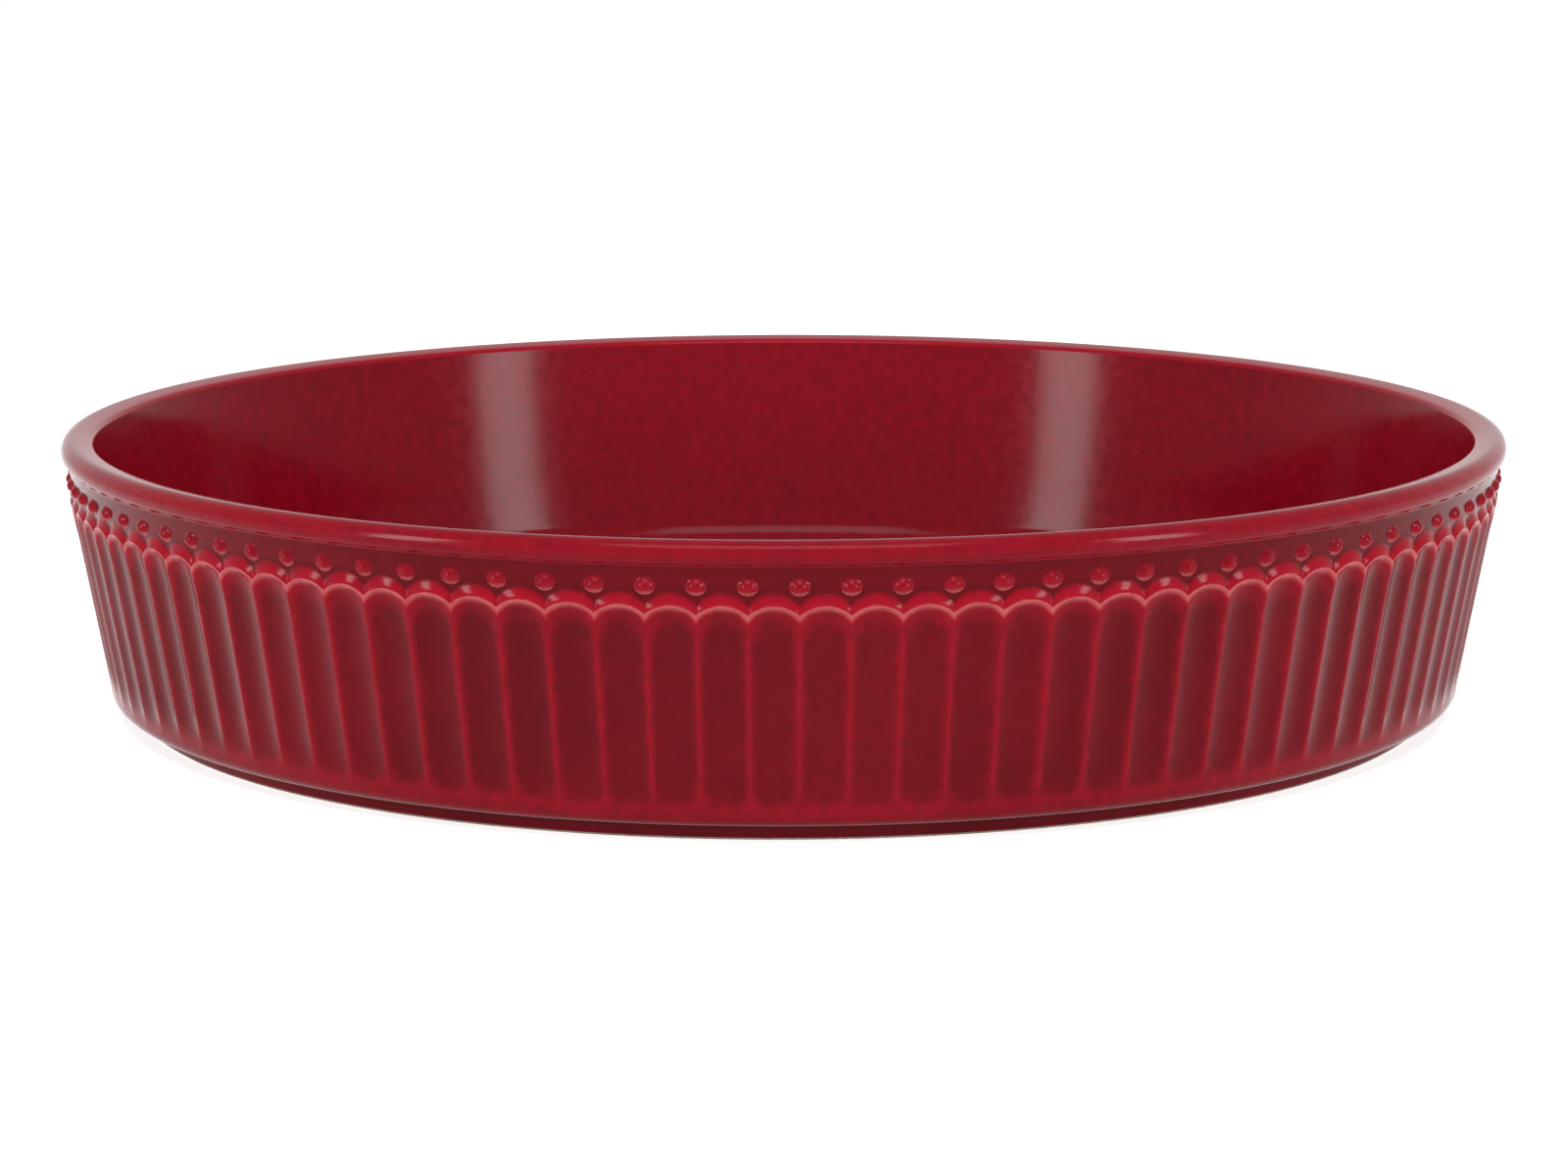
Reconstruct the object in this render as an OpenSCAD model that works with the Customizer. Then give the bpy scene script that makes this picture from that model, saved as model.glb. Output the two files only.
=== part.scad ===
// Fluted quiche dish: one stoneware body under a fired glaze coat.
// Z is up. The origin is the centre of the foot ring's standing face.

/* [Rim] */
// Outer diameter over the rim roll
rim_d = 285; // [220:1:340]
// Height from the table to the top of the rim
dish_h = 55; // [45:0.5:80]
// Radius of the half-round roll on the rim's outer edge
roll_r = 2.35; // [1.8:0.05:3]
// Width of the rim from its outer edge to the inner wall
rim_w = 6.4; // [6:0.1:9]
// Radius of the rim's inner edge
rim_edge_r = 1.2; // [0.8:0.1:1.6]
// How far the inner edge lies below the top of the roll
rim_dip = 0.5; // [0:0.1:1]
// Half angle of the flat that ends the roll below, as seen from the roll's centre
roll_flat_a = 32; // [25:1:40]

/* [Wall] */
// Outward lean of the outer wall, in degrees
wall_lean = 10.3; // [6:0.1:14]
// Outward lean of the inner wall, in degrees
inner_lean = 10.3; // [6:0.1:14]
// How far the ridges' cone passes outside the rim roll, at the roll's height
ridge_proud = 0.25; // [0:0.05:0.6]
// How far the beaded band lies behind the ridges' cone
band_recess = 1.1; // [0.6:0.05:1.5]

/* [Floor and foot] */
// Thickness of the floor
floor_t = 6; // [5:0.1:8]
// Radius of the corner between the floor and the inner wall
floor_corner_r = 8; // [4:0.5:14]
// Outer diameter of the foot ring
foot_d = 257; // [200:1:260]
// Width of the foot ring
foot_w = 6; // [4:0.1:12]
// Radius of the foot ring's two lower edges
foot_edge_r = 0.9; // [0.5:0.1:1.2]
// Depth of the recess inside the foot ring
recess_h = 2; // [1.6:0.1:3]
// Height from the table to the lower edge of the fluted skirt
skirt_lift = 3.3; // [2.6:0.1:5]
// Radius of the skirt's lower edge
skirt_edge_r = 2.5; // [1.5:0.1:3]

/* [Flutes] */
// Number of flutes around the dish, and of scallops and beads
flute_count = 100; // [80:1:110]
// Depth of a flute below the ridges
flute_depth = 0.95; // [0.6:0.05:1]
// Width of the ridge between two flutes, at the scallops
ridge_w = 0.8; // [0.7:0.05:1.2]
// Height of the flutes' lower ends above the top of the skirt's rounded edge
flute_lift = 0.4; // [0.4:0.1:3]

/* [Scallops] */
// Distance from the top of the rim down to the top of the scallops
scallop_drop = 11.3; // [10.5:0.1:13]
// Height of each scallop above its two cusps, along the wall
scallop_rise = 1.75; // [1.2:0.05:2.2]
// Height of the sloping shoulder over the middle of a scallop, along the wall
shoulder_h = 2.4; // [1.6:0.1:2.6]
// Height of the arched crease behind the shoulder above its own two cusps, along the wall
crease_rise = 2.3; // [1.6:0.05:2.5]

/* [Beads] */
// Distance from the top of the rim down to the middle of the beads
bead_drop = 8.1; // [7.9:0.1:8.4]
// Width of a bead where it meets the band
bead_w = 3.3; // [2.4:0.1:3.6]
// How far a bead stands out of the band
bead_proud = 1.1; // [0.6:0.05:1.2]

/* [Glaze] */
// Thickness of the glaze coat
glaze_t = 0.3; // [0.26:0.02:0.4]
// Height of the bare clay left below the glaze at the foot ring
bare_h = 0.5; // [0.4:0.1:0.8]

/* [Hidden] */
$fn = 48;
turn_fn = 240;
lap = 1.5;
ledge_lip = 0.15;
edge_steps = 1;
scallop_steps = 3;

rim_r = rim_d / 2;
foot_r = foot_d / 2;
foot_in_r = foot_r - foot_w;
floor_z = recess_h + floor_t;
over_z = dish_h + 5;

// Centres of the two rounds that shape the rim, and the direction of the line over both
roll_c = [rim_r - roll_r, dish_h - roll_r];
edge_c = [rim_r - rim_w + rim_edge_r, dish_h - rim_dip - rim_edge_r];
rim_run = roll_c - edge_c;
rim_top_a = atan2(rim_run[1], rim_run[0]) + acos((rim_edge_r - roll_r) / norm(rim_run));
rim_up = [cos(rim_top_a), sin(rim_top_a)];
wall_in = [-cos(inner_lean), sin(inner_lean)];

// Height of the flat ledge under the rim roll, on which the band's flat sides end
ledge_z = roll_c[1] - roll_r * cos(roll_flat_a);

// The wall has one flat side per flute; a side's width at a height
pitch_a = 360 / flute_count;
function side_w(z) = 2 * ridge_r(z) * tan(pitch_a / 2);

// One scallop per flute: a round whose middle lies on the wall's flat side, and the angle of
// the shoulder behind it
scallop_z = dish_h - scallop_drop;
scallop_r = (pow(side_w(scallop_z) / 2, 2) + pow(scallop_rise, 2)) / (2 * scallop_rise);
hub_z = scallop_z - scallop_r * cos(wall_lean);
shoulder_a = atan(shoulder_h / band_recess);
crease_r = (pow(side_w(scallop_z) / 2, 2) + pow(crease_rise, 2)) / (2 * crease_rise);

// The flute's round section, and the round end that follows the scallop
flute_half_w = (side_w(hub_z) - ridge_w) / 2;
flute_r = (pow(flute_half_w, 2) + pow(flute_depth, 2)) / (2 * flute_depth);
flute_off = flute_r - flute_depth;
flute_end_r = norm([scallop_r - ridge_w / 2, flute_off]);
flute_side_w = (flute_half_w + side_w(skirt_lift) / 2) / 2;

// The ball that shows a cap of the bead's width and height
bead_z = dish_h - bead_drop;
bead_r = (pow(bead_w / 2, 2) + pow(bead_proud, 2)) / (2 * bead_proud);

// Distance from the axis to the wall's flat sides, to the band and to the inner wall at a
// height, with a skin taken off
function ridge_r(z, skin = 0) =
    rim_r + ridge_proud + (z - dish_h + roll_r) * tan(wall_lean) - skin / cos(wall_lean);
function band_r(z, skin = 0) = ridge_r(z, band_recess + skin);
function inner_r(z, skin = 0) =
    edge_c[0] + (z - edge_c[1]) * tan(inner_lean) - (rim_edge_r - skin) / cos(inner_lean);

// Distance and height of a point that lies out of the wall and up it from a scallop's middle
function wall_point(out, up) = [
    ridge_r(hub_z) + out * cos(wall_lean) + up * sin(wall_lean),
    hub_z - out * sin(wall_lean) + up * cos(wall_lean),
];

// Corner between two flat sides of the wall
function corner(ring, i) =
    let (reach = ring[0] / cos(pitch_a / 2), a = (i + 0.5) * pitch_a)
        [reach * cos(a), reach * sin(a), ring[1]];

// Point on a flat side, a share of the way from its first corner to its second
function side_point(ring, i, share) = (1 - share) * corner(ring, i) + share * corner(ring, i + 1);

// Heights of the scallop's edge and of the crease behind it above the scallop's middle, a share
// of the way across, with both arcs drawn in by a shift
function arc_up(share, r) = sqrt(pow(r, 2) - pow((share - 0.5) * side_w(scallop_z), 2));
function edge_up(share, shift) = arc_up(share, scallop_r - shift);
function crease_up(share, shift) =
    scallop_r + shoulder_h - crease_r + arc_up(share, crease_r - shift);

// Puts what is drawn at a flat side onto the wall: its Z axis runs up the wall
module at_wall(z, out) {
    translate([ridge_r(z) + out * cos(wall_lean), 0, z - out * sin(wall_lean)])
        rotate([0, wall_lean, 0])
            children();
}

module around(turn) {
    for (i = [0 : flute_count - 1]) {
        rotate([0, 0, (i + turn) * pitch_a])
            children();
    }
}

// Half section of the rim: the outer roll over its ledge, the inner edge, the line over both
module rim_section(skin) {
    low_z = ledge_z + skin;
    intersection() {
        translate([0, low_z])
            square([2 * rim_r, over_z]);
        union() {
            translate(roll_c)
                circle(roll_r - skin);
            translate(edge_c)
                circle(rim_edge_r - skin);
            polygon([
                edge_c + (rim_edge_r - skin) * rim_up,
                roll_c + (roll_r - skin) * rim_up,
                roll_c,
                [band_r(low_z, skin) + ledge_lip, low_z],
                [inner_r(low_z, skin), low_z],
                edge_c + (rim_edge_r - skin) * wall_in,
            ]);
        }
    }
}

// Half section of the foot ring and of the floor over its recess
module foot_section(skin) {
    edge_r = foot_edge_r - skin;
    for (r = [foot_in_r + foot_edge_r, foot_r - foot_edge_r]) {
        translate([r, edge_r])
            circle(edge_r);
    }
    translate([foot_in_r + foot_edge_r, 0])
        square([foot_w - 2 * foot_edge_r, floor_z]);
    translate([foot_in_r + skin, edge_r])
        square([foot_w - 2 * skin, floor_z - edge_r - lap]);
    translate([0, recess_h + skin])
        square([foot_r - lap, floor_t - lap]);
}

// Half section of the space inside the dish
module cavity_section(skin) {
    corner_z = floor_z + floor_corner_r;
    corner_x = inner_r(corner_z) - floor_corner_r / cos(inner_lean);
    corner_r = floor_corner_r + skin;
    translate([corner_x, corner_z])
        circle(corner_r);
    polygon([
        [0, floor_z - skin],
        [corner_x, floor_z - skin],
        [corner_x + corner_r * cos(inner_lean), corner_z - corner_r * sin(inner_lean)],
        [inner_r(over_z, skin), over_z],
        [0, over_z],
    ]);
}

// The wall before the flutes are cut, with one flat side per flute: rings of corners up its
// rounded lower edge, then the scallops, the crease behind their shoulder, and the band
module wall_blank(skin) {
    n = flute_count;
    m = scallop_steps;
    round_z = skirt_lift + skirt_edge_r;
    round_x = ridge_r(round_z) - skirt_edge_r / cos(wall_lean);
    round_r = skirt_edge_r - skin;
    shift = skin * tan((90 - shoulder_a) / 2);
    low_rings = [
        for (k = [0 : edge_steps])
            let (a = -90 + k / edge_steps * (90 - wall_lean))
                [round_x + round_r * cos(a), round_z + round_r * sin(a)]
    ];
    top_ring = [band_r(ledge_z + skin, skin), ledge_z + skin];
    edge = (edge_steps + 1) * n;
    crease = edge + m * n;
    top = crease + m * n;
    polyhedron(
        points = concat(
            [for (ring = low_rings) for (i = [0 : n - 1]) corner(ring, i)],
            [
                for (i = [0 : n - 1])
                    for (k = [0 : m - 1])
                        side_point(wall_point(-skin, edge_up(k / m, shift)), i, k / m)
            ],
            [
                for (i = [0 : n - 1])
                    for (k = [0 : m - 1])
                        let (up = crease_up(k / m, shift))
                            side_point(wall_point(-skin - band_recess, up), i, k / m)
            ],
            [for (i = [0 : n - 1]) corner(top_ring, i)]
        ),
        faces = concat(
            [[for (i = [0 : n - 1]) i]],
            [[for (i = [n - 1 : -1 : 0]) top + i]],
            [
                for (row = [0 : edge_steps - 1])
                    for (i = [0 : n - 1])
                        let (low = row * n, j = (i + 1) % n)
                            [low + i, low + n + i, low + n + j, low + j]
            ],
            [
                for (i = [0 : n - 1])
                    let (low = edge_steps * n)
                        concat(
                            [low + i],
                            [for (k = [0 : m]) edge + (i * m + k) % (m * n)],
                            [low + (i + 1) % n]
                        )
            ],
            [
                for (k = [0 : m * n - 1])
                    let (next = (k + 1) % (m * n))
                        [edge + k, crease + k, crease + next, edge + next]
            ],
            [
                for (i = [0 : n - 1])
                    concat(
                        [top + i, top + (i + 1) % n],
                        [for (k = [m : -1 : 0]) crease + (i * m + k) % (m * n)]
                    )
            ]
        )
    );
}

// The round cutter of one flute, with an upper end that follows the scallop
module flute_cutter(skin) {
    low_z = skirt_lift + skirt_edge_r + flute_lift;
    length = (hub_z - low_z) / cos(wall_lean) + skin;
    side_a = asin(flute_side_w / (flute_r + skin));
    at_wall(hub_z, flute_off)
        rotate([0, 0, 180 - side_a])
            rotate_extrude(angle = 2 * side_a) {
                intersection() {
                    circle(flute_end_r + skin);
                    square([flute_r + skin, flute_end_r + lap]);
                }
                translate([0, -length])
                    square([flute_r + skin, length]);
            }
}

// A bead is the cap of a ball, turned so that the ball's seam lies inside the wall
module bead(skin) {
    sink = bead_proud - bead_r;
    translate([
        band_r(bead_z) / cos(pitch_a / 2) + sink * cos(wall_lean),
        0,
        bead_z - sink * sin(wall_lean),
    ])
        rotate([0, 0, 180])
            sphere(bead_r - skin);
}

// The fluted wall, the floor and the foot, up to the ledge under the rim
module walls_and_floor(skin) {
    difference() {
        union() {
            wall_blank(skin);
            rotate_extrude($fn = turn_fn)
                foot_section(skin);
        }
        around(0)
            flute_cutter(skin);
        rotate_extrude($fn = turn_fn)
            cavity_section(skin);
    }
}

module rim(skin) {
    rotate_extrude($fn = turn_fn)
        rim_section(skin);
}

module stoneware_body() {
    color([0.80, 0.75, 0.66])
        union() {
            walls_and_floor(glaze_t);
            rim(glaze_t);
            around(0.5)
                bead(glaze_t);
        }
}

// The glaze lies between the outer form and the stoneware, and leaves the foot's face bare
module glaze_coat() {
    color([0.48, 0.04, 0.08])
        difference() {
            union() {
                walls_and_floor(0);
                rim(0);
                around(0.5)
                    bead(0);
            }
            walls_and_floor(glaze_t);
            rim(glaze_t);
            around(0.5)
                bead(glaze_t);
            translate([0, 0, bare_h - lap])
                cylinder(h = lap, r = rim_r);
        }
}

stoneware_body();
glaze_coat();
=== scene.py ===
import math

import bmesh
import bpy
from mathutils import Matrix, Vector


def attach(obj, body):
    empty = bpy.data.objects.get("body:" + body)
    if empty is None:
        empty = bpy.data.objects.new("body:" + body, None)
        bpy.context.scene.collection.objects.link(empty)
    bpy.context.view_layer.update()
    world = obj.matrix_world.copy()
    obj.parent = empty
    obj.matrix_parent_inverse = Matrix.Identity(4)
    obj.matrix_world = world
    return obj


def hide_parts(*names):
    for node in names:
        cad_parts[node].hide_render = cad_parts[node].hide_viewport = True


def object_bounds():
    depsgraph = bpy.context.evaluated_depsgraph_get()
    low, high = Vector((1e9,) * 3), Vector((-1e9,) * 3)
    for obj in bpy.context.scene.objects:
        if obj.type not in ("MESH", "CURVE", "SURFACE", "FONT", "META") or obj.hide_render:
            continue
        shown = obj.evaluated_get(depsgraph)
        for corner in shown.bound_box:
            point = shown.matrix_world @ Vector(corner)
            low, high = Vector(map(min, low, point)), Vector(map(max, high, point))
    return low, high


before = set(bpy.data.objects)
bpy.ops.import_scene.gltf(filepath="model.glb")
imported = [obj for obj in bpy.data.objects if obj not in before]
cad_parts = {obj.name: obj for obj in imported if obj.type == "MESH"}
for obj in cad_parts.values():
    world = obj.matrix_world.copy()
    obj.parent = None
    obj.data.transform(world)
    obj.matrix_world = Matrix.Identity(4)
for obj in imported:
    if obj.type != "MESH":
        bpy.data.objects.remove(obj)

cad_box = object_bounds()


# ---- Camera ----
# The photograph's viewpoint: about 0.9 m from the middle of the dish and 10 degrees above it,
# turned so that a bead stands just right of the middle.
FRAME_W_PX = 1600
FOCAL_PX = 4619
SENSOR_MM = 36
CAMERA_BACK = 0.894
CAMERA_UP = 0.1837
CAMERA_DIP = 0.1797
CAMERA_ROLL = -0.0017
CAMERA_TURN = math.radians(0.706)
CAMERA_REACH = 20

camera = bpy.data.objects.new("camera", bpy.data.cameras.new("camera"))
bpy.context.scene.collection.objects.link(camera)
camera.data.sensor_width = SENSOR_MM
camera.data.lens = SENSOR_MM * FOCAL_PX / FRAME_W_PX
camera.data.clip_end = CAMERA_REACH
camera.matrix_world = (
    Matrix.Rotation(CAMERA_TURN, 4, "Z")
    @ Matrix.Translation((0, -CAMERA_BACK, CAMERA_UP))
    @ Matrix.Rotation(math.pi / 2 - CAMERA_DIP, 4, "X")
    @ Matrix.Rotation(CAMERA_ROLL, 4, "Z")
)
bpy.context.scene.camera = camera
bpy.context.scene.view_settings.view_transform = "Standard"


# ---- Glaze coat ----
# The red glaze over the whole dish but the foot's standing face. It is a glass layer, poured
# on and fired. It pools in the flutes and thins over the ridges, the scallops and the rim,
# where the pale clay shows through it. Its colour also holds painted shade, darker in the
# creases and concave corners, and a painted reflection of the white floor, paler on the
# scoops and the beads' lower halves.
MM = 0.001
GLAZE_T = 0.28 * MM
FLUTES = 100
PITCH = 2 * math.pi / FLUTES
WALL_LEAN = math.radians(10.3)
RIM_R = cad_box[1].x
DISH_H = cad_box[1].z
ROLL_R = 2.35 * MM

# The wall's ridges lie on a cone that passes just outside the rim's roll. Heights up it are
# measured from the middles of the scallops' arcs.
RIDGE_PROUD = 0.25 * MM
WALL_OUT = (math.cos(WALL_LEAN), -math.sin(WALL_LEAN))
WALL_UP = (math.sin(WALL_LEAN), math.cos(WALL_LEAN))
HUB_Z = 37.31 * MM
HUB_R = RIM_R + RIDGE_PROUD + (HUB_Z - DISH_H + ROLL_R) * math.tan(WALL_LEAN)

# One flute is cut by a round tool of radius FLUTE_R whose axis lies FLUTE_OFF outside the wall
SCALLOP_R = 6.495 * MM
CREASE_R = 5.415 * MM
SHOULDER_H = 2.4 * MM
BAND_RECESS = 1.1 * MM
BAND_TOP_UP = 12.6 * MM
FLUTE_R = 8.891 * MM
FLUTE_OFF = 7.941 * MM
FLUTE_END_R = 10.01 * MM
FADE_LOW = -31.2 * MM
FADE_HIGH = -25 * MM
RIDGE_SOFTNESS = 0.55 * MM
SKIRT_EDGE_R = 2.5 * MM
SKIRT_EDGE_UP = -32.48 * MM
SKIRT_IN = 0.15 * MM
LIP_OUT = -0.22 * MM
LIP_INSET = -0.04 * MM
COVE_DIP = 0.12 * MM

# How thin the glaze is, from 0 where it is thick to 1 where the clay shows through
SKIRT_THIN = 0.3
RIDGE_THIN = 0.36
RIDGE_THIN_MOST = 0.45
THICKENS_PER_MM = 0.5


def wall_point(out, up):
    """The (r, z) of a point that lies out of the cone of the ridges, and up it."""
    return (
        HUB_R + out * WALL_OUT[0] + up * WALL_UP[0],
        HUB_Z + out * WALL_OUT[1] + up * WALL_UP[1],
    )


def soft_max(a, b, softness):
    return (a + b + math.sqrt((a - b) ** 2 + softness**2)) / 2


def flute_depth(across, up):
    """Depth of the flute's trough below the ridges: round at the top, fading out at the foot."""
    trough = math.sqrt(FLUTE_R**2 - across**2)
    if up > 0:
        trough = min(trough, math.sqrt(max(FLUTE_END_R**2 - across**2 - up**2, 0)))
    fade = max(0, min(1, (up - FADE_LOW) / (FADE_HIGH - FADE_LOW)))
    return (trough - FLUTE_OFF) * (1 - (1 - fade) ** 2)


def scallop_up(across, inset=0):
    return math.sqrt((SCALLOP_R - inset) ** 2 - across**2)


def crease_up(across):
    return SCALLOP_R + SHOULDER_H - CREASE_R + math.sqrt(CREASE_R**2 - across**2)


def ridge_thinness(across, up=-1):
    """How far the glaze thins over a ridge, less where the flute beside it is deep."""
    trough = flute_depth(across, up)
    return max(0, min(RIDGE_THIN_MOST, RIDGE_THIN - THICKENS_PER_MM * trough / MM))


# Each row of the flute's mesh gives, for a distance across the flute, how far out of the wall
# and up it the row lies, how far the glaze thins there, with painted reflection, and how deep it
# pools, with painted shade
def edge_row(angle):
    """A row of the rounded edge at the bottom of the skirt."""
    def row(across):
        out = SKIRT_EDGE_R * (math.cos(angle) - 1)
        up = SKIRT_EDGE_UP + SKIRT_EDGE_R * math.sin(angle)
        return out - SKIRT_IN, up, SKIRT_THIN * math.cos(angle), 0

    return row


def trough_row(up):
    def row(across):
        depth = soft_max(flute_depth(across, up), 0, RIDGE_SOFTNESS)
        return -depth, up, ridge_thinness(across, up), 0

    return row


def scoop_row(inset, thin_and_reflection):
    """A row of the flute's round upper end, which follows the scallop."""
    def row(across):
        up = scallop_up(across, inset)
        depth = soft_max(flute_depth(across, up), 0, RIDGE_SOFTNESS / 2)
        return -depth, up, max(thin_and_reflection, ridge_thinness(across)), 0

    return row


def lip_row(out, inset, thin_and_reflection):
    def row(across):
        return out, scallop_up(across, inset), thin_and_reflection, 0

    return row


def cove_row(share, thin_and_reflection, pool_and_shade):
    """Between the scallop's lip and the crease, hollowed below the straight line."""
    def row(across):
        dip = COVE_DIP * 4 * share * (1 - share)
        low = scallop_up(across, LIP_INSET)
        out = LIP_OUT - (BAND_RECESS + LIP_OUT) * share - dip
        up = low + (crease_up(across) - low) * share - dip / 2
        return out, up, thin_and_reflection, pool_and_shade

    return row


def band_row(rise, level, pool_and_shade):
    """A row of the beads' band, level or following the crease."""
    def row(across):
        return -BAND_RECESS, rise if level else crease_up(across) + rise, 0, pool_and_shade

    return row


EDGE_TURNS = (-79.7, -62, -45, -30, -15, 0)
TROUGH_UPS = (-31, -29.5, -27.5, -25, -15, -4, -0.5)
# On the scoops the red grows paler towards the lip: the glaze thins at the edge, and a painted
# reflection of the white floor lies on the scoop's downward face
SCOOPS = ((1.8, 0), (1.5, 0.1), (1.25, 0.55), (1.0, 0.8), (0.7, 0.9), (0.42, 0.95))
# The cove grows darker into its crease: glaze pooled there, with painted shade
COVES = ((0.3, 0.5, 0), (0.6, 0.45, 0), (0.85, 0.2, 0.5), (1, 0, 1))
flute_rows = (
    [edge_row(math.radians(turn)) for turn in EDGE_TURNS]
    + [trough_row(up * MM) for up in TROUGH_UPS]
    + [scoop_row(inset * MM, thin_and_reflection) for inset, thin_and_reflection in SCOOPS]
    + [lip_row(-0.03 * MM, 0.2 * MM, 1.0), lip_row(-0.08 * MM, 0.05 * MM, 0.9)]
    + [lip_row(LIP_OUT, LIP_INSET, 0.6)]
    + [cove_row(*cove) for cove in COVES]
    # The band is darker next to the crease and at its top under the rim's roll: glaze pooled there,
    # with painted shade
    + [band_row(0.3 * MM, False, 0.6), band_row(0.9 * MM, False, 0)]
    + [band_row(10.6 * MM, True, 0), band_row(BAND_TOP_UP, True, 0.3)]
)

# Places across half a pitch, closer together beside the ridges
COLUMNS = (-1, -0.93, -0.84, -0.7, -0.48, -0.25, 0, 0.25, 0.48, 0.7, 0.84, 0.93, 1)
MERGE_DIST = 3e-6


def sector(profile, steps):
    """A profile of (r, z, thin_and_reflection, pool_and_shade) spun through the share of the dish
    that one flute has.
    """
    share = bmesh.new()
    thin_and_reflection_layer = share.verts.layers.float.new("thin_and_reflection")
    pool_and_shade_layer = share.verts.layers.float.new("pool_and_shade")
    row_layer = share.verts.layers.int.new("row")
    points = []
    for number, (r, z, thin_and_reflection, pool_and_shade) in enumerate(profile):
        point = share.verts.new((r * math.cos(PITCH / 2), -r * math.sin(PITCH / 2), z))
        point[thin_and_reflection_layer] = thin_and_reflection
        point[pool_and_shade_layer] = pool_and_shade
        point[row_layer] = number
        points.append(point)
    lines = [share.edges.new(pair) for pair in zip(points, points[1:])]
    bmesh.ops.spin(
        share, geom=points + lines, cent=(0, 0, 0), axis=(0, 0, 1), dvec=(0, 0, 0),
        angle=PITCH, steps=steps, use_merge=False, use_duplicate=False,
    )
    return share


def around_the_dish(share):
    """One flute's share, repeated into the whole ring."""
    share_mesh = bpy.data.meshes.new("share")
    share.to_mesh(share_mesh)
    share.free()
    ring = bmesh.new()
    for _ in range(FLUTES):
        ring.from_mesh(share_mesh)
        share_mesh.transform(Matrix.Rotation(PITCH, 4, "Z"))
    bpy.data.meshes.remove(share_mesh)
    bmesh.ops.remove_doubles(ring, verts=ring.verts, dist=MERGE_DIST)
    return ring


def fluted_ring():
    """The outer wall: a plain spun share, with each point then moved to its place in the flute."""
    profile = [(*wall_point(*row(0)[:2]), 0, 0) for row in flute_rows]
    share = sector(profile, len(COLUMNS) - 1)
    thin_and_reflection_layer = share.verts.layers.float["thin_and_reflection"]
    pool_and_shade_layer = share.verts.layers.float["pool_and_shade"]
    row_layer = share.verts.layers.int["row"]
    for vert in share.verts:
        turned = math.atan2(vert.co.y, vert.co.x) / PITCH + 0.5
        angle = COLUMNS[round(turned * (len(COLUMNS) - 1))] * PITCH / 2
        row = flute_rows[vert[row_layer]]
        near_out, near_up = row(angle * vert.co.xy.length)[:2]
        near_r = wall_point(near_out, near_up)[0]
        out, up, thin_and_reflection, pool_and_shade = row(angle * near_r)
        r, z = wall_point(out, up)
        vert.co = (r * math.cos(angle), r * math.sin(angle), z)
        vert[thin_and_reflection_layer] = thin_and_reflection
        vert[pool_and_shade_layer] = pool_and_shade
    return around_the_dish(share)


# The rim, the inner wall and the floor are plain and round: a half-round roll, a top that
# falls a little inward, a tight inner edge, and a round corner above the flat floor
ROLL_C = (RIM_R - ROLL_R, DISH_H - ROLL_R)
ROLL_TURNS = (-50, -38, -25, -12, 0, 12, 25, 38, 50, 62, 75, 88)
RIM_EDGE_R = 1.2 * MM
RIM_EDGE_C = (RIM_R - 5.2 * MM, DISH_H - 1.7 * MM)
RIM_EDGE_TURNS = (100.3, 112, 124, 136, 148, 160)
FLOOR_Z = 8 * MM
CORNER_R = 8 * MM
CORNER_C = (121.17 * MM, FLOOR_Z + CORNER_R)
CORNER_TURNS = (-10.3, -24, -38, -52, -66, -80, -90)
TURNED_STEPS = 3
INSIDE_THIN = 0.33


def arc(centre, radius, degrees, thin_and_reflection, pool_and_shade=0.0):
    return [
        (
            centre[0] + radius * math.cos(math.radians(a)),
            centre[1] + radius * math.sin(math.radians(a)),
            thin_and_reflection,
            pool_and_shade,
        )
        for a in degrees
    ]


def in_metres(points):
    """Points of (r, z, thin_and_reflection, pool_and_shade) whose r and z are in millimetres."""
    return [(r * MM, z * MM, thin_and_reflection, pool_and_shade) for r, z, thin_and_reflection, pool_and_shade in points]


rim_profile = (
    # The crease under the roll is darker: glaze pooled there, with painted shade
    in_metres([(141.21, 50.28, 0.1, 0.6), (141.36, 50.6, 0.45, 0.2)])
    + arc(ROLL_C, ROLL_R, ROLL_TURNS, 0.35)
    + arc(ROLL_C, ROLL_R, (100.3,), 0.45)
    + arc(RIM_EDGE_C, RIM_EDGE_R, RIM_EDGE_TURNS, 0.6)
    + arc(RIM_EDGE_C, RIM_EDGE_R, (169.7,), 0.3)
    + in_metres([(r, z, INSIDE_THIN, 0) for r, z in ((135.1, 47.9), (133.2, 37.5), (131.0, 25.36))])
    # The inner corner above the floor is a little darker: glaze pooled there, with painted shade
    + arc(CORNER_C, CORNER_R, CORNER_TURNS, INSIDE_THIN, 0.2)
    + [(r * MM, FLOOR_Z, INSIDE_THIN, 0) for r in (108, 80, 50, 25, 0)]
)
# The foot is darker in its corner under the skirt: glaze pooled there, with painted shade
foot_profile = in_metres([
    (128.4, 0.5, 0.3, 0),
    (128.48, 0.75, 0.2, 0),
    (128.5, 1.5, 0, 0),
    (128.52, 2.4, 0, 0.3),
    (128.8, 2.95, 0, 0.6),
    (129.35, 3.25, 0, 0.3),
    (130.9, 3.3, 0, 0),
])

# Heights between which the open edges of two parts of the coat face each other
UNDER_RIM = (49 * MM, 50.5 * MM)
UNDER_SKIRT = (3.2 * MM, 3.6 * MM)


def boundary_ring(body, low_z, high_z):
    return [
        edge
        for edge in body.edges
        if edge.is_boundary and all(low_z < vert.co.z < high_z for vert in edge.verts)
    ]


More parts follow.
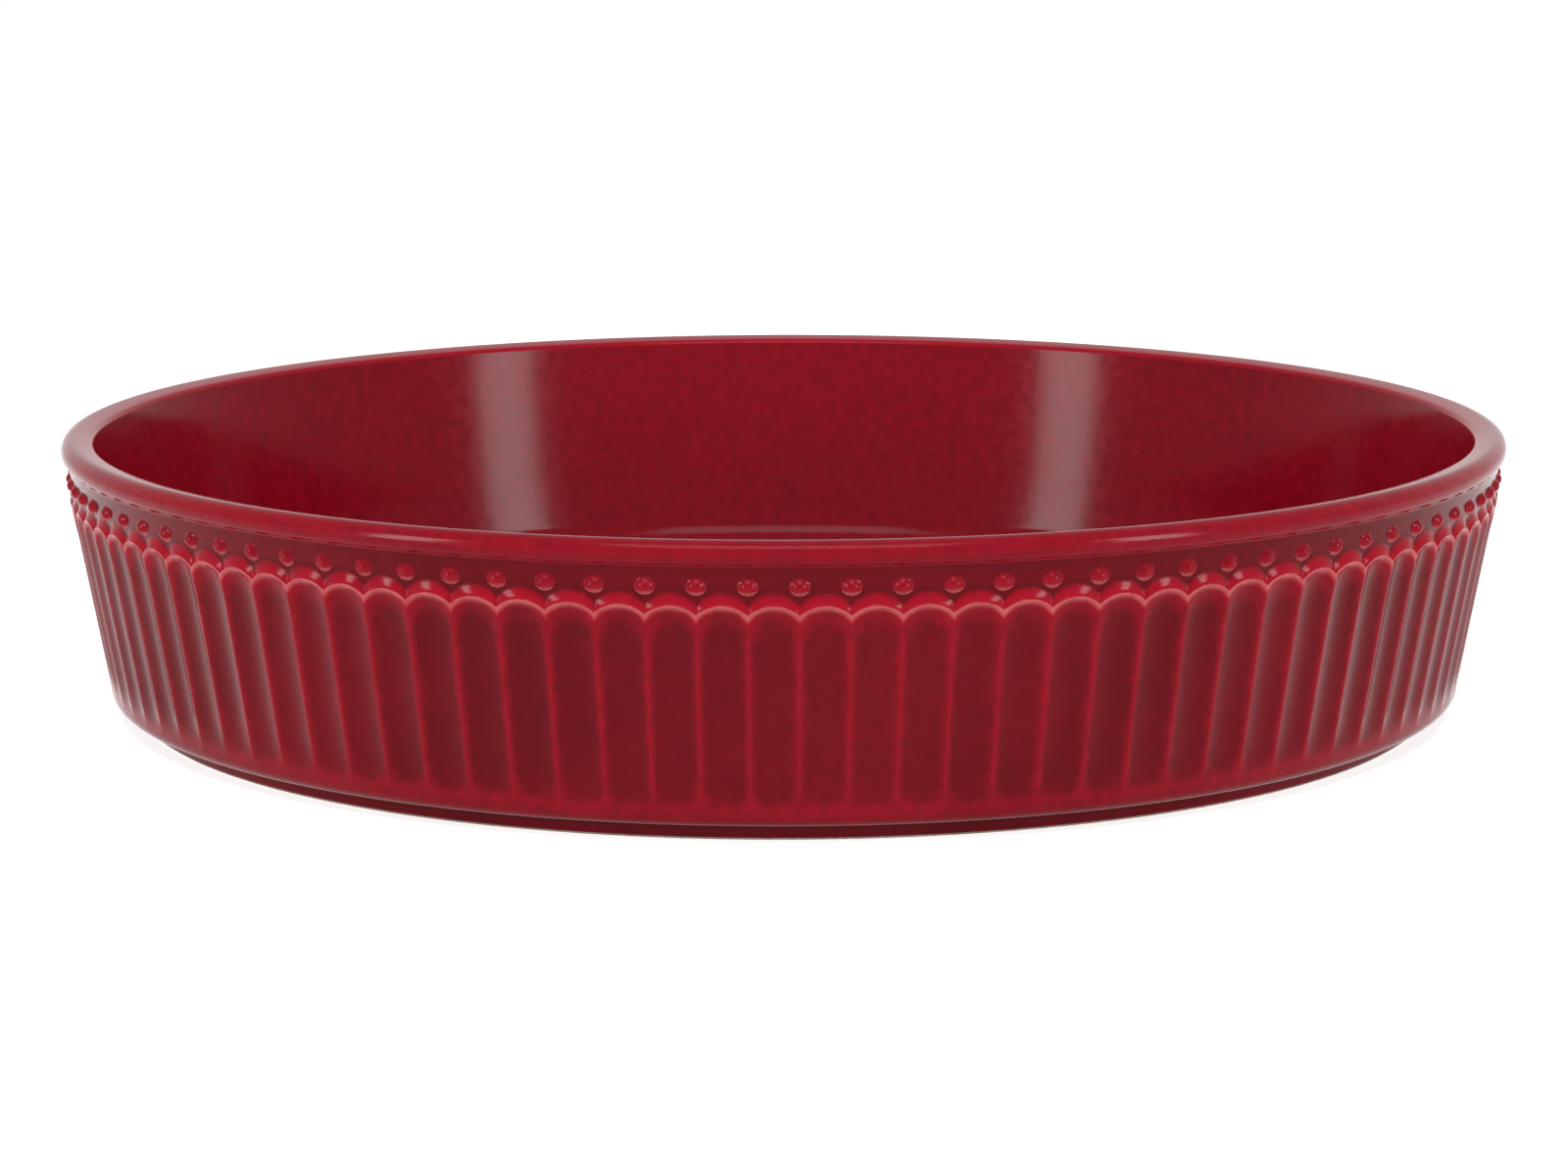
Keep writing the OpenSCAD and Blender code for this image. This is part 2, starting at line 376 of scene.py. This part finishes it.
def piece(name, body, material):
    bmesh.ops.recalc_face_normals(body, faces=body.faces)
    for face in body.faces:
        face.smooth = True
    mesh = bpy.data.meshes.new(name)
    body.to_mesh(mesh)
    body.free()
    mesh.materials.append(material)
    made = bpy.data.objects.new(name, mesh)
    bpy.context.scene.collection.objects.link(made)
    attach(made, "root")
    return made


def thicken(skin, side):
    """The glaze's thickness, laid on the back of a skin's faces (-1) or on their front (1)."""
    thickness = skin.modifiers.new("thickness", "SOLIDIFY")
    thickness.thickness = GLAZE_T
    thickness.offset = side


class Value:
    """A shader socket that can be used in sums."""

    def __init__(self, tree, socket):
        self.tree = tree
        self.socket = socket

    def node(self, kind, settings=None, **inputs):
        """A new node: its settings first, then its sockets, named, or i0, i1 by their number."""
        made = self.tree.nodes.new(kind)
        for key, setting in (settings or {}).items():
            setattr(made, key, setting)
        for key, given in inputs.items():
            by_number = key[1:].isdigit()
            socket = made.inputs[int(key[1:]) if by_number else key.replace("_", " ")]
            if isinstance(given, Value):
                self.tree.links.new(given.socket, socket)
            else:
                socket.default_value = given
        return made

    def output(self, made, name=0):
        return Value(self.tree, made.outputs[name])

    def maths(self, operation, other):
        return self.output(self.node("ShaderNodeMath", {"operation": operation}, i0=self, i1=other))

    def __add__(self, other):
        return self.maths("ADD", other)

    def __radd__(self, other):
        return self.maths("ADD", other)

    def __sub__(self, other):
        return self.maths("SUBTRACT", other)

    def __rsub__(self, other):
        return self.maths("MULTIPLY", -1.0).maths("ADD", other)

    def __mul__(self, other):
        return self.maths("MULTIPLY", other)

    def __rmul__(self, other):
        return self.maths("MULTIPLY", other)

    def clamp(self):
        return self.output(self.node("ShaderNodeClamp", i0=self))

    def step(self, low, high):
        made = self.node(
            "ShaderNodeMapRange", {"interpolation_type": "SMOOTHSTEP"},
            i0=self, i1=low, i2=high, i3=0.0, i4=1.0,
        )
        return self.output(made)

    def mix(self, low, high):
        """The colour low where this is 0, and high where it is 1."""
        colours = [
            given if isinstance(given, Value) else (*given, 1)
            for given in (low, high)
        ]
        made = self.node(
            "ShaderNodeMix", {"data_type": "RGBA"}, i0=self, i6=colours[0], i7=colours[1]
        )
        return self.output(made, 2)

    def noise(self, scale, detail):
        """Noise over this place, with scale waves to the metre."""
        made = self.node("ShaderNodeTexNoise", Vector=self, Scale=scale, Detail=detail)
        return self.output(made)


def new_material(name):
    material = bpy.data.materials.new(name)
    material.use_nodes = True
    tree = material.node_tree
    tree.nodes.clear()
    start = Value(tree, None)
    shader = start.node("ShaderNodeBsdfPrincipled")
    out = start.node("ShaderNodeOutputMaterial")
    tree.links.new(shader.outputs[0], out.inputs["Surface"])
    return material, start, shader


def glaze_measure(start, name):
    """One of the measures that the mesh's points carry: thin_and_reflection, the glaze's thinning
    with painted reflection, and pool_and_shade, its pooling with painted shade.
    """
    return start.output(start.node("ShaderNodeAttribute", {"attribute_name": name}), "Fac")


# Nearly all of a noise's values lie in this range
NOISE_RANGE = (0.3, 0.7)

# How far the glaze has thinned where the red brightens, and where it breaks to the pale clay;
# the same paleness is also a painted reflection of the white floor on the scoops and the beads'
# lower halves
BRIGHTENS = (0.08, 0.6)
BREAKS = (0.72, 1.05)
GLAZE_ROUGHNESS = 0.12
GLAZE_ROUGHNESS_VARIES = 0.04
GLAZE_SHEEN = 0.08


def red_glaze():
    """Deep red where the glaze is thick, brighter where it thins, pale where it breaks; darker with
    painted shade in creases, and paler with a painted reflection of the white floor on the scoops
    and the beads' lower halves.
    """
    material, start, shader = new_material("red_glaze")
    place = start.output(start.node("ShaderNodeTexCoord"), "Object")
    thin_and_reflection = glaze_measure(start, "thin_and_reflection")
    pool_and_shade = glaze_measure(start, "pool_and_shade")
    cloud = place.noise(28.0, 3.0)
    mottle = place.noise(420.0, 4.0)
    flow = place.noise(1400.0, 2.0)

    thick_red = (0.180, 0.0020, 0.0075)
    deep_red = (0.112, 0.0010, 0.0045)
    bright_red = (0.310, 0.0040, 0.0150)
    pale_break_and_reflection = (0.50, 0.105, 0.105)

    varied = (cloud.step(*NOISE_RANGE) * 0.5 + mottle.step(*NOISE_RANGE) * 0.25).clamp()
    body = varied.mix(deep_red, thick_red)
    # Darker red where the glaze pools in creases and concave corners, with painted shade there too
    body = pool_and_shade.mix(body, deep_red)
    # Brighter, then pale, where the glaze thins over edges; on the scoops and the beads' lower
    # halves this paleness is a painted reflection of the white floor
    edge = thin_and_reflection + (mottle - 0.5) * 0.25
    body = edge.step(*BRIGHTENS).mix(body, bright_red)
    broken_and_reflected = edge.step(*BREAKS) * (0.75 + 0.5 * flow)
    body = broken_and_reflected.clamp().mix(body, pale_break_and_reflection)
    start.tree.links.new(body.socket, shader.inputs["Base Color"])

    roughness = mottle.step(*NOISE_RANGE) * GLAZE_ROUGHNESS_VARIES + GLAZE_ROUGHNESS
    start.tree.links.new(roughness.socket, shader.inputs["Roughness"])
    bump = start.node("ShaderNodeBump", Strength=0.12, Distance=0.0001, Height=mottle)
    start.tree.links.new(bump.outputs[0], shader.inputs["Normal"])
    shader.inputs["Specular IOR Level"].default_value = GLAZE_SHEEN
    return material


glaze_material = red_glaze()

coat = fluted_ring()
for turned_profile in (rim_profile, foot_profile):
    ring = around_the_dish(sector(turned_profile, TURNED_STEPS))
    ring_mesh = bpy.data.meshes.new("ring")
    ring.to_mesh(ring_mesh)
    ring.free()
    coat.from_mesh(ring_mesh)
    bpy.data.meshes.remove(ring_mesh)
for low_z, high_z in (UNDER_RIM, UNDER_SKIRT):
    bmesh.ops.bridge_loops(coat, edges=boundary_ring(coat, low_z, high_z))
glaze_coat = piece("glaze_coat_skin", coat, glaze_material)
thicken(glaze_coat, -1)
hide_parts("glaze_coat")


# ---- Recess glaze ----
# The same glaze under the dish, where it covers the shallow recess inside the foot ring. It is
# fired on apart from the main coat, because the standing face between them is wiped clean.
RECESS_STEPS = 2
# The recess is darker in its corner inside the foot ring: glaze pooled there, with painted shade
recess_profile = in_metres([
    (122.6, 0.5, 0.3, 0),
    (122.5, 0.9, 0, 0),
    (122.45, 1.5, 0, 0.3),
    (122.2, 1.85, 0, 0.6),
    (121.6, 2.0, 0, 0.3),
    (110, 2.0, 0, 0),
    (70, 2.0, 0, 0),
    (30, 2.0, 0, 0),
    (0, 2.0, 0, 0),
])
recess = around_the_dish(sector(recess_profile, RECESS_STEPS))
recess_glaze = piece("recess_glaze", recess, glaze_material)
thicken(recess_glaze, 1)
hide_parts("glaze_coat")


# ---- Beads ----
# A row of small domes on the band, one above each cusp between two scallops. They are moulded
# with the wall. Their lower halves are paler: a painted reflection of the white floor.
BEAD_Z = 46.9 * MM
BEAD_DROP = 0.2 * MM
BEAD_UP = (BEAD_Z - HUB_Z) / math.cos(WALL_LEAN) - BEAD_DROP
BEAD_R = 1.5 * MM
BEAD_TALL = 0.88
BEAD_SIDES = 12
BEAD_THIN = 0.45
BEAD_REFLECTION_BELOW = 0.75
BEAD_THIN_LEAST = 0.35
bead_profile = [
    (0, 1.1), (0.55, 1.01), (1.0, 0.76), (1.35, 0.42), (1.6, 0.13), (1.85, 0.01), (2.0, -0.12),
]


def one_bead():
    """A dome turned about its own axis, which then stands out of the wall above a cusp."""
    bead = bmesh.new()
    thin_and_reflection_layer = bead.verts.layers.float.new("thin_and_reflection")
    bead.verts.layers.float.new("pool_and_shade")
    points = [bead.verts.new((reach * MM, 0, height * MM)) for reach, height in bead_profile]
    lines = [bead.edges.new(pair) for pair in zip(points, points[1:])]
    bmesh.ops.spin(
        bead, geom=points + lines, cent=(0, 0, 0), axis=(0, 0, 1), dvec=(0, 0, 0),
        angle=2 * math.pi, steps=BEAD_SIDES, use_merge=True, use_duplicate=False,
    )
    bmesh.ops.remove_doubles(bead, verts=bead.verts, dist=MERGE_DIST)
    bmesh.ops.holes_fill(bead, edges=[e for e in bead.edges if e.is_boundary], sides=0)
    for vert in bead.verts:
        # Paler towards the bead's lower side: a painted reflection of the white floor
        low_side = -vert.co.x / BEAD_R
        vert[thin_and_reflection_layer] = max(BEAD_THIN_LEAST, min(1.0, BEAD_THIN + BEAD_REFLECTION_BELOW * low_side))
        vert.co.x *= BEAD_TALL
    r, z = wall_point(-BAND_RECESS, BEAD_UP)
    bead.transform(
        Matrix.Rotation(PITCH / 2, 4, "Z")
        @ Matrix.Translation((r, 0, z))
        @ Matrix((
            (WALL_UP[0], 0, WALL_OUT[0], 0),
            (0, -1, 0, 0),
            (WALL_UP[1], 0, WALL_OUT[1], 0),
            (0, 0, 0, 1),
        ))
    )
    return bead


beads = piece("bead_row", around_the_dish(one_bead()), glaze_material)
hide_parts("glaze_coat")


# ---- Stoneware body ----
# The fired clay under the glaze, pressed or cast in a fluted mould. The glaze hides it all but
# the foot's standing face, which is wiped clean before the firing. Its flutes are left out here,
# because they would reach through the glaze's softer ones.
CLAY_STEPS = 3
clay_profile = [
    (0, 2.2), (121.5, 2.2), (122.65, 1.4), (122.9, 0.45), (123.4, 0), (127.6, 0), (128.1, 0.45),
    (128.3, 1.6), (128.6, 3.5), (130.6, 3.6), (132.4, 5.2), (137.2, 35), (139.6, 49.5),
    (140.6, 53.6), (137.6, 53.8), (136.3, 51.5), (130.2, 18), (129.5, 14.5), (128, 11),
    (125.1, 8.5), (121.5, 7.5), (0, 7.5),
]


def bare_stoneware():
    """Buff clay with a fine sandy grain and a few darker stains."""
    material, start, shader = new_material("stoneware")
    place = start.output(start.node("ShaderNodeTexCoord"), "Object")
    grain = place.noise(900.0, 6.0)
    stain = place.noise(40.0, 3.0)

    dark_buff = (0.42, 0.34, 0.26)
    pale_buff = (0.62, 0.55, 0.46)
    brown_stain = (0.30, 0.22, 0.16)

    clay_colour = grain.step(*NOISE_RANGE).mix(dark_buff, pale_buff)
    clay_colour = (stain.step(0.45, 0.75) * 0.4).mix(clay_colour, brown_stain)
    start.tree.links.new(clay_colour.socket, shader.inputs["Base Color"])
    bump = start.node("ShaderNodeBump", Strength=0.25, Distance=0.0002, Height=grain)
    start.tree.links.new(bump.outputs[0], shader.inputs["Normal"])
    shader.inputs["Roughness"].default_value = 0.85
    return material


clay_points = in_metres([(r, z, 0, 0) for r, z in clay_profile])
clay_ring = around_the_dish(sector(clay_points, CLAY_STEPS))
clay = piece("clay_body", clay_ring, bare_stoneware())
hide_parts("stoneware_body")


# ---- Floor, background and lights ----
# A plain white floor that keeps a soft shadow, a white surround, and three soft boxes.
FLOOR_HALF = 6
FLOOR_GLOW = 0.7
SURROUND_LIGHT = 0.35
AIM = Vector((0, 0, 0.03))


def seen_directly(start):
    """1 for the camera, for reflections and through glass, and 0 for the light on the dish."""
    path = start.node("ShaderNodeLightPath")
    seen = start.output(path, "Is Camera Ray") + start.output(path, "Is Glossy Ray")
    return (seen + start.output(path, "Is Transmission Ray")).clamp()


def white_floor():
    material, start, shader = new_material("floor")
    shader.inputs["Base Color"].default_value = (0.85, 0.85, 0.85, 1)
    shader.inputs["Roughness"].default_value = 0.9
    shader.inputs["Specular IOR Level"].default_value = 0
    glow = start.node("ShaderNodeEmission", Color=(1, 1, 1, 1), Strength=FLOOR_GLOW)
    both = start.node("ShaderNodeAddShader")
    start.tree.links.new(shader.outputs[0], both.inputs[0])
    start.tree.links.new(glow.outputs[0], both.inputs[1])
    chosen = start.node("ShaderNodeMixShader", i0=seen_directly(start))
    start.tree.links.new(shader.outputs[0], chosen.inputs[1])
    start.tree.links.new(both.outputs[0], chosen.inputs[2])
    out = next(node for node in start.tree.nodes if node.type == "OUTPUT_MATERIAL")
    start.tree.links.new(chosen.outputs[0], out.inputs["Surface"])
    return material


floor_mesh = bmesh.new()
bmesh.ops.create_grid(floor_mesh, x_segments=1, y_segments=1, size=FLOOR_HALF)
floor_data = bpy.data.meshes.new("floor")
floor_mesh.to_mesh(floor_data)
floor_mesh.free()
floor_data.materials.append(white_floor())
floor = bpy.data.objects.new("floor", floor_data)
bpy.context.scene.collection.objects.link(floor)

world = bpy.data.worlds.new("surround")
bpy.context.scene.world = world
world.use_nodes = True
world.node_tree.nodes.clear()
sky = Value(world.node_tree, None)
strength = seen_directly(sky) * (1 - SURROUND_LIGHT) + SURROUND_LIGHT
background = sky.node("ShaderNodeBackground", Color=(1, 1, 1, 1), Strength=strength)
world_out = sky.node("ShaderNodeOutputWorld")
world.node_tree.links.new(background.outputs[0], world_out.inputs["Surface"])


def soft_box(name, place, size, watts):
    lamp = bpy.data.lights.new(name, "AREA")
    lamp.shape = "RECTANGLE"
    lamp.size, lamp.size_y = size
    lamp.energy = watts
    box = bpy.data.objects.new(name, lamp)
    bpy.context.scene.collection.objects.link(box)
    box.location = place
    box.rotation_euler = (AIM - Vector(place)).to_track_quat("-Z", "Y").to_euler()


soft_box("soft_box_left", (-1.05, -0.72, 0.32), (0.24, 0.6), 8)
soft_box("soft_box_right", (1.05, -0.72, 0.32), (0.24, 0.6), 8)
soft_box("soft_box_top", (0, -0.75, 1.25), (1.0, 0.6), 9)
